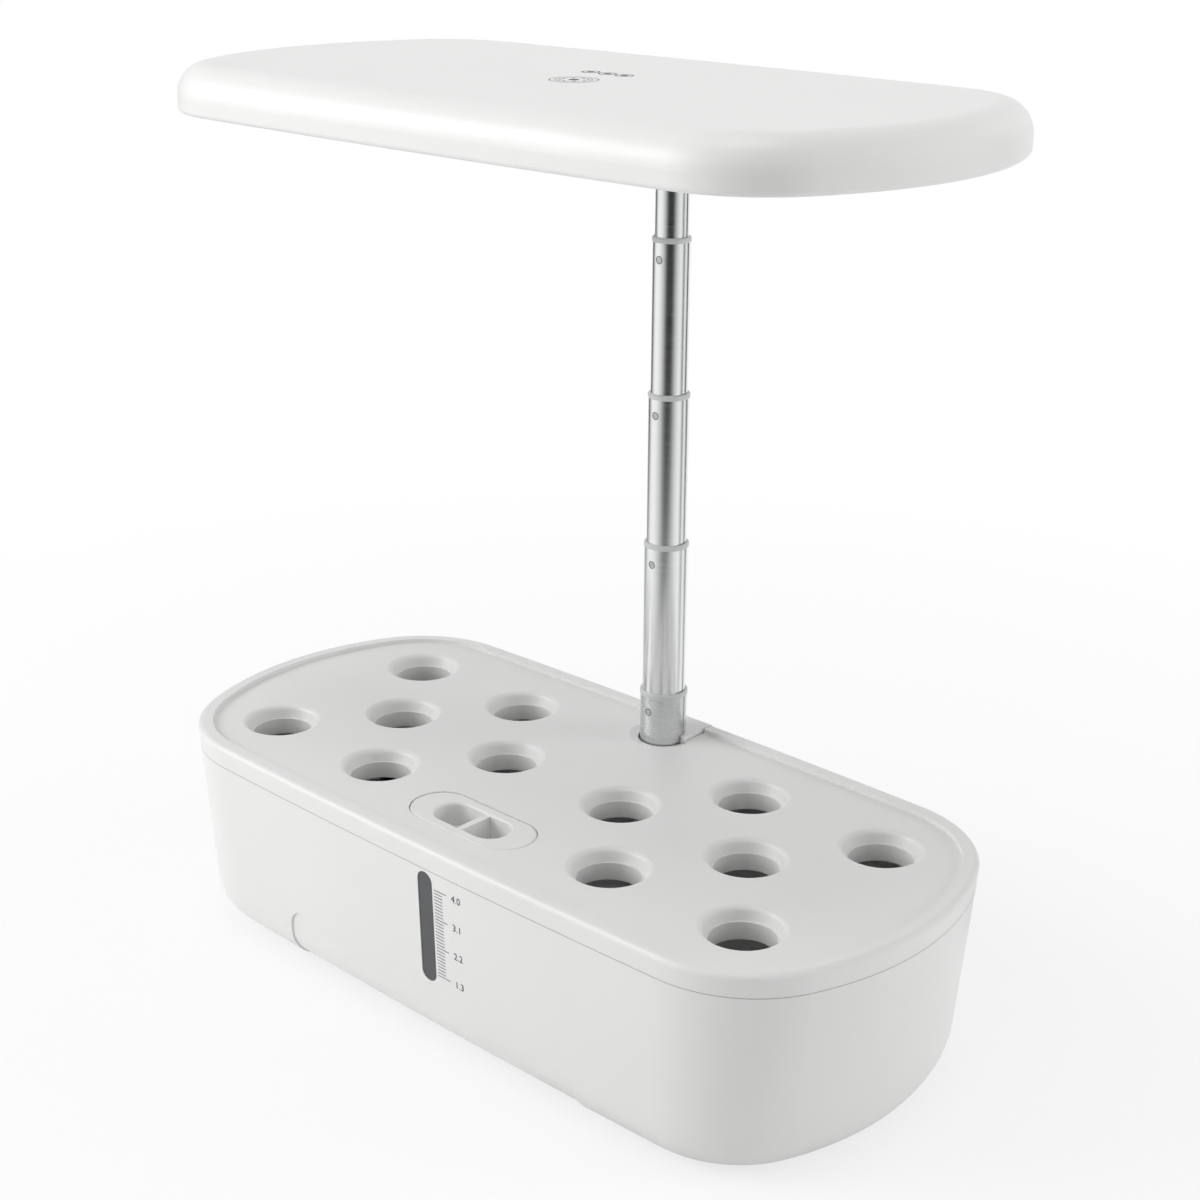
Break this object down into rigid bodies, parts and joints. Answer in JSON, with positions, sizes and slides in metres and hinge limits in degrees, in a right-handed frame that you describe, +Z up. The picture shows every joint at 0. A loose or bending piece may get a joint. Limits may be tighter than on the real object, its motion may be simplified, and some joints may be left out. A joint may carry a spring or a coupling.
{
  "type": "countertop hydroponic garden",
  "caption": "Long rounded water tank with a holed grow deck, a level window, a telescopic pole at the back and a flat grow lamp above.",
  "frame": {"origin": "on the worktop, under the middle of the whole garden's bounding box", "axes": "+Z up, +X along the tank to the right, -Y towards the side with the level window"},
  "size_m": [0.3915, 0.1933, 0.402],
  "materials": {
    "abs": "fine-textured white moulded ABS",
    "tinted_clear": "smoked clear plastic",
    "rubber": "grey rubber",
    "aluminium": "drawn and satin brushed",
    "acetal": "light grey acetal",
    "steel": "zinc plated",
    "black_plastic": "black moulded plastic",
    "circuit_board": "green solder mask",
    "led_board": "white solder mask on aluminium",
    "diode": "yellow phosphor in a white frame",
    "print_ink": "grey pad-printed ink",
    "clear_lens": "clear acrylic"
  },
  "bodies": {
    "tank_body": {"tank": "abs", "level_window": "tinted_clear", "rubber_feet": "rubber", "pole_foot_plug": "acetal", "pole_foot_screw": "steel", "power_inlet": "black_plastic", "pole_tube_1": "aluminium", "pole_collar_1": "acetal", "pole_pin_1": "steel", "pump_body": "black_plastic", "pump_grille": "black_plastic", "pump_shaft": "steel", "pump_feet": "rubber", "pump_outlet": "black_plastic"},
    "deck": {"grow_deck": "abs", "pole_trim": "abs"},
    "cap": {"fill_cap": "abs"},
    "stage_2": {"pole_tube_2": "aluminium", "pole_collar_2": "acetal", "pole_pin_2": "steel", "pole_slider_2": "acetal"},
    "stage_3": {"pole_tube_3": "aluminium", "pole_collar_3": "acetal", "pole_pin_3": "steel", "pole_slider_3": "acetal"},
    "stage_4": {"pole_tube_4": "aluminium", "pole_collar_4": "acetal", "pole_pin_4": "steel", "pole_slider_4": "acetal"},
    "lamp": {"pole_tube_5": "aluminium", "pole_slider_5": "acetal", "pole_head": "acetal", "head_clamp": "acetal", "head_screws": "steel", "lamp_top_cover": "abs", "lamp_lower_cover": "abs", "lamp_screws": "steel", "leds": "diode", "led_lens": "clear_lens", "led_board": "led_board", "touch_board": "circuit_board"},
    "rotor": {"pump_impeller": "black_plastic"}
  },
  "joints": [
    {"name": "deck_lift", "type": "slide", "parent": "tank_body", "child": "deck", "axis": [0, 0, 1], "range_m": [0, 0.08]},
    {"name": "cap_lift", "type": "slide", "parent": "deck", "child": "cap", "axis": [0, 0, 1], "range_m": [0, 0.03]},
    {"name": "pole_slide_2", "type": "slide", "parent": "tank_body", "child": "stage_2", "axis": [0, 0, 1], "range_m": [-0.07, 0]},
    {"name": "pole_slide_3", "type": "slide", "parent": "stage_2", "child": "stage_3", "axis": [0, 0, 1], "range_m": [-0.067, 0]},
    {"name": "pole_slide_4", "type": "slide", "parent": "stage_3", "child": "stage_4", "axis": [0, 0, 1], "range_m": [-0.0665, 0]},
    {"name": "pole_slide_5", "type": "slide", "parent": "stage_4", "child": "lamp", "axis": [0, 0, 1], "range_m": [-0.04, 0]},
    {"name": "impeller_spin", "type": "hinge", "parent": "tank_body", "child": "rotor", "pos_m": [-0.118, 0.00475, 0.0252], "axis": [0, 1, 0], "continuous": true}
  ]
}
